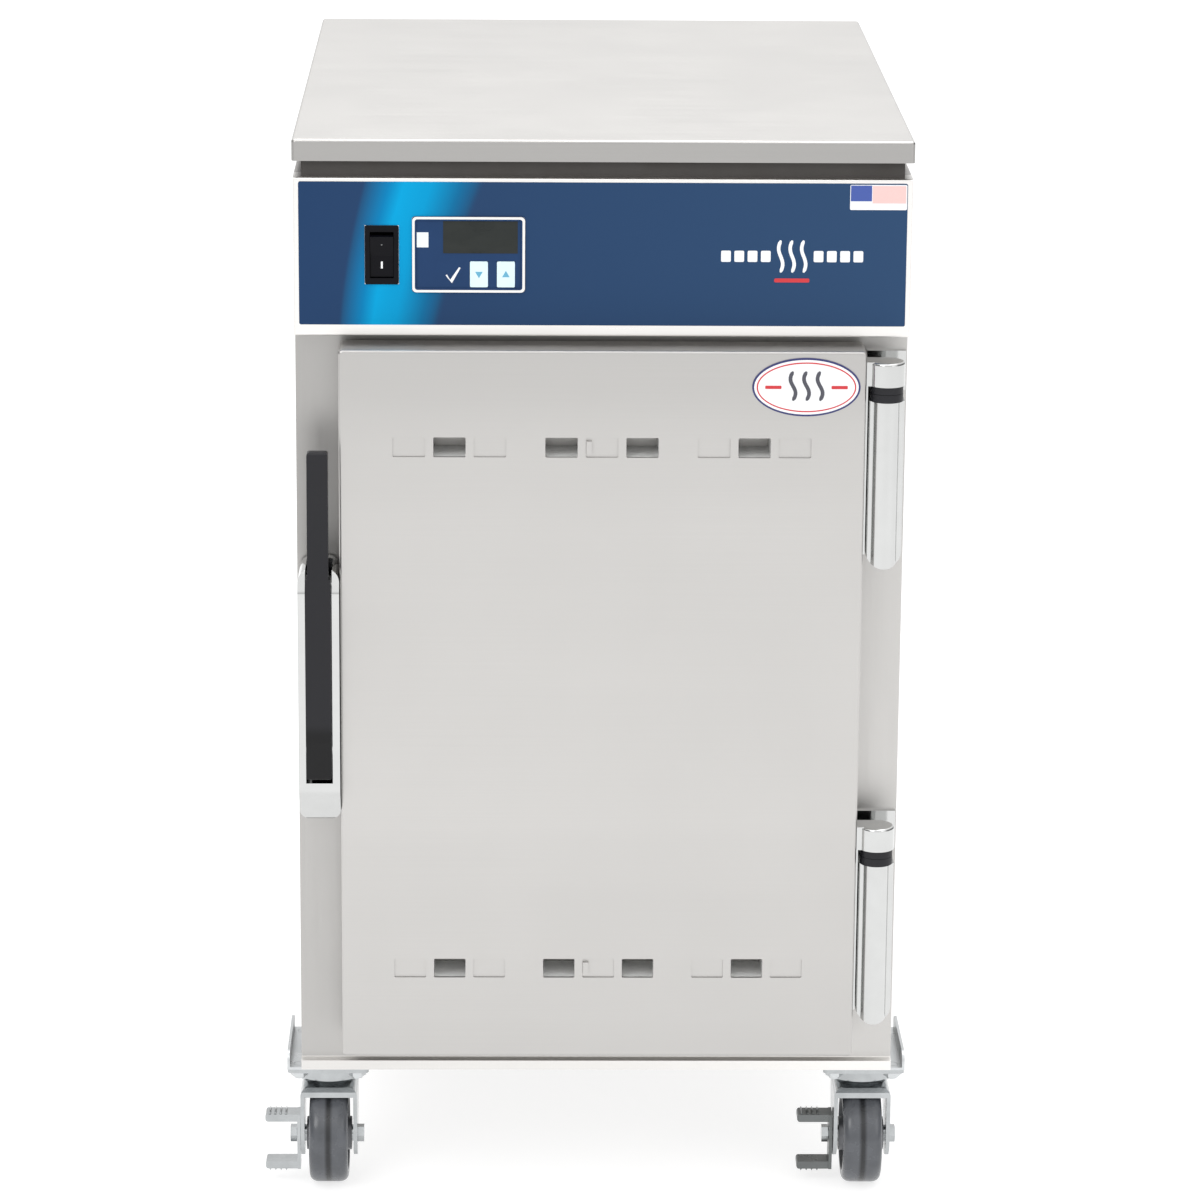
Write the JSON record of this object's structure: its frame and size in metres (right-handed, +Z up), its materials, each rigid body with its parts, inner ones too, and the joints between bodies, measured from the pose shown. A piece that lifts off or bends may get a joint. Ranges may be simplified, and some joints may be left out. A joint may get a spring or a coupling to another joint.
{
  "type": "hot food holding cabinet",
  "caption": "Insulated under-counter food holding cabinet on casters: hinged vented door with magnetic latch, control panel, wire shelves inside.",
  "frame": {"origin": "bottom centre of the bounding box, on the floor", "axes": "+Z up, the door faces -Y, +X to the right of someone facing the door"},
  "size_m": [0.4976, 0.665, 0.832],
  "materials": {
    "stainless_front": "brushed, satin",
    "stainless_casing": "brushed, satin",
    "slide_steel": "satin",
    "galvanised_steel": "satin",
    "zinc_plate": "bright plated",
    "wheel_rubber": "smooth, glossy",
    "chrome_fittings": "polished",
    "black_nylon": "satin",
    "black_gloss": "glossy",
    "magnet": "matte",
    "wire_steel": "bright",
    "seal": "matte",
    "fibreglass": "matte",
    "cable_jacket": "matte",
    "overlay_blue": "satin",
    "module_plastic": "satin",
    "display_window": "glossy",
    "key_plastic": "satin",
    "circuit_board": "satin",
    "mains_plastic": "satin",
    "badge": "glossy"
  },
  "bodies": {
    "cabinet": {"air_probe": "slide_steel", "base_pan": "stainless_casing", "body_fasteners": "galvanised_steel", "body_insulation": "fibreglass", "caster_brackets": "galvanised_steel", "control_bezel": "stainless_front", "control_board": "circuit_board", "cord_gland": "black_nylon", "display_lens": "display_window", "drip_pan": "stainless_casing", "electronics_tray": "slide_steel", "fan_frame": "black_nylon", "front_frame": "stainless_front", "heating_cable": "cable_jacket", "hinge_frame_leaves": "chrome_fittings", "hinge_pins": "chrome_fittings", "inner_liner": "stainless_casing", "latch_strike": "slide_steel", "lid_gasket": "seal", "mains_parts": "mains_plastic", "module_housing": "module_plastic", "outer_casing": "stainless_casing", "panel_overlay": "overlay_blue", "rear_axles": "zinc_plate", "rigid_forks": "zinc_plate", "shelf_lower": "wire_steel", "shelf_upper": "wire_steel", "side_rack_left": "wire_steel", "side_rack_right": "wire_steel", "switch_body": "black_gloss", "swivel_bearings": "zinc_plate", "swivel_plates": "zinc_plate", "top_cover": "stainless_front"},
    "door": {"door_skin": "stainless_front", "door_inner_pan": "stainless_casing", "door_insulation": "fibreglass", "door_gasket": "seal", "door_badge": "badge", "hinge_door_leaves": "chrome_fittings", "hinge_upper_cams": "black_nylon", "latch_housing": "chrome_fittings", "latch_magnets": "magnet", "latch_pin": "chrome_fittings"},
    "latch_lever": {"latch_lever": "black_nylon"},
    "upper_vent_slide": {"vent_slide_upper": "slide_steel"},
    "lower_vent_slide": {"vent_slide_lower": "slide_steel"},
    "power_rocker": {"power_rocker": "black_gloss"},
    "key_up": {"key_up": "key_plastic"},
    "key_down": {"key_down": "key_plastic"},
    "fan_rotor": {"fan_rotor": "black_nylon"},
    "caster_left": {"swivel_fork_left": "zinc_plate", "front_axle_left": "zinc_plate"},
    "caster_right": {"swivel_fork_right": "zinc_plate", "front_axle_right": "zinc_plate"},
    "brake_left": {"brake_lever_left": "zinc_plate"},
    "brake_right": {"brake_lever_right": "zinc_plate"},
    "wheel_front_left": {"wheel_front_left": "wheel_rubber"},
    "wheel_front_right": {"wheel_front_right": "wheel_rubber"},
    "wheel_rear_left": {"wheel_rear_left": "wheel_rubber"},
    "wheel_rear_right": {"wheel_rear_right": "wheel_rubber"}
  },
  "joints": [
    {"name": "door_swing", "type": "hinge", "parent": "cabinet", "child": "door", "pos_m": [0.21975, -0.3075, 0.4], "axis": [0, 0, 1], "range_deg": [0, 180]},
    {"name": "latch_pull", "type": "hinge", "parent": "door", "child": "latch_lever", "pos_m": [-0.20125, -0.3115, 0.499], "axis": [1, 0, 0], "range_deg": [0, 14]},
    {"name": "upper_vent", "type": "slide", "parent": "door", "child": "upper_vent_slide", "axis": [1, 0, 0], "range_m": [0, 0.019]},
    {"name": "lower_vent", "type": "slide", "parent": "door", "child": "lower_vent_slide", "axis": [1, 0, 0], "range_m": [0, 0.019]},
    {"name": "power_switch", "type": "hinge", "parent": "cabinet", "child": "power_rocker", "pos_m": [-0.15375, -0.2845, 0.746], "axis": [1, 0, 0], "range_deg": [0, 20]},
    {"name": "key_up_press", "type": "slide", "parent": "cabinet", "child": "key_up", "axis": [0, 1, 0], "range_m": [0, 0.0006], "stiffness_N_per_m": 800},
    {"name": "key_down_press", "type": "slide", "parent": "cabinet", "child": "key_down", "axis": [0, 1, 0], "range_m": [0, 0.0006], "stiffness_N_per_m": 800},
    {"name": "fan_spin", "type": "hinge", "parent": "cabinet", "child": "fan_rotor", "pos_m": [-0.10075, 0.3082, 0.745], "axis": [0, 1, 0], "continuous": true},
    {"name": "swivel_left", "type": "hinge", "parent": "cabinet", "child": "caster_left", "pos_m": [-0.19875, -0.2235, 0.09], "axis": [0, 0, 1], "continuous": true},
    {"name": "brake_left_press", "type": "hinge", "parent": "caster_left", "child": "brake_left", "pos_m": [-0.22875, -0.2435, 0.038], "axis": [1, 0, 0], "range_deg": [-8, 0]},
    {"name": "wheel_front_left_roll", "type": "hinge", "parent": "caster_left", "child": "wheel_front_left", "pos_m": [-0.19875, -0.2435, 0.038], "axis": [1, 0, 0], "continuous": true},
    {"name": "wheel_rear_left_roll", "type": "hinge", "parent": "cabinet", "child": "wheel_rear_left", "pos_m": [-0.19875, 0.2645, 0.038], "axis": [1, 0, 0], "continuous": true},
    {"name": "swivel_right", "type": "hinge", "parent": "cabinet", "child": "caster_right", "pos_m": [0.21725, -0.2235, 0.09], "axis": [0, 0, 1], "continuous": true},
    {"name": "brake_right_press", "type": "hinge", "parent": "caster_right", "child": "brake_right", "pos_m": [0.18725, -0.2435, 0.038], "axis": [1, 0, 0], "range_deg": [-8, 0]},
    {"name": "wheel_front_right_roll", "type": "hinge", "parent": "caster_right", "child": "wheel_front_right", "pos_m": [0.21725, -0.2435, 0.038], "axis": [1, 0, 0], "continuous": true},
    {"name": "wheel_rear_right_roll", "type": "hinge", "parent": "cabinet", "child": "wheel_rear_right", "pos_m": [0.21725, 0.2645, 0.038], "axis": [1, 0, 0], "continuous": true}
  ]
}
